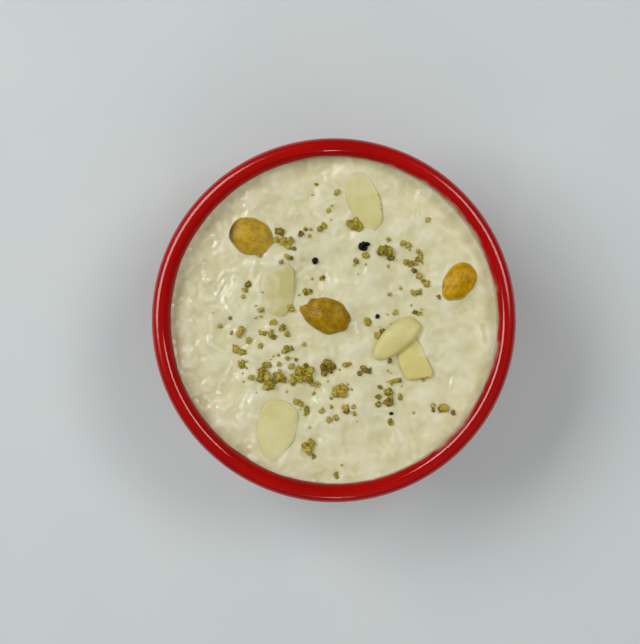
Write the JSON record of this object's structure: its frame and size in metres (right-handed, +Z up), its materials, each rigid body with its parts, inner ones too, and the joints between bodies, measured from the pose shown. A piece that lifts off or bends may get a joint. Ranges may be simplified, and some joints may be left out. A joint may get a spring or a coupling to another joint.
{
  "type": "kheer rice pudding in a bowl",
  "caption": "Indian rice pudding served in a round red melamine bowl with a rolled lip, topped with golden raisins, almond flakes and crushed pistachio.",
  "frame": {"origin": "centre of the bowl's foot ring, on the surface that it stands on", "axes": "+Z up through the bowl's mouth; +X and +Y lie in the surface that it stands on, +X towards the raisin nearest the lip and +Y towards the topmost almond flake"},
  "size_m": [0.13, 0.13, 0.054],
  "materials": {
    "red_melamine": "glossy moulded red melamine",
    "milk_pudding": "wet, creamy boiled milk and soft rice",
    "golden_raisin": "plumped golden raisin, wrinkled and slightly see-through",
    "blanched_almond": "cut blanched almond, waxy and wet with milk",
    "pistachio": "crushed pistachio kernel, dry and olive green",
    "cardamom_seed": "dark cardamom seed"
  },
  "bodies": {
    "root": {"bowl": "red_melamine", "kheer": "milk_pudding", "raisin_1": "golden_raisin", "raisin_2": "golden_raisin", "raisin_3": "golden_raisin", "almond_flake_1": "blanched_almond", "almond_flake_2": "blanched_almond", "almond_flake_3": "blanched_almond", "almond_flake_4": "blanched_almond", "almond_flake_5": "blanched_almond"}
  },
  "joints": []
}
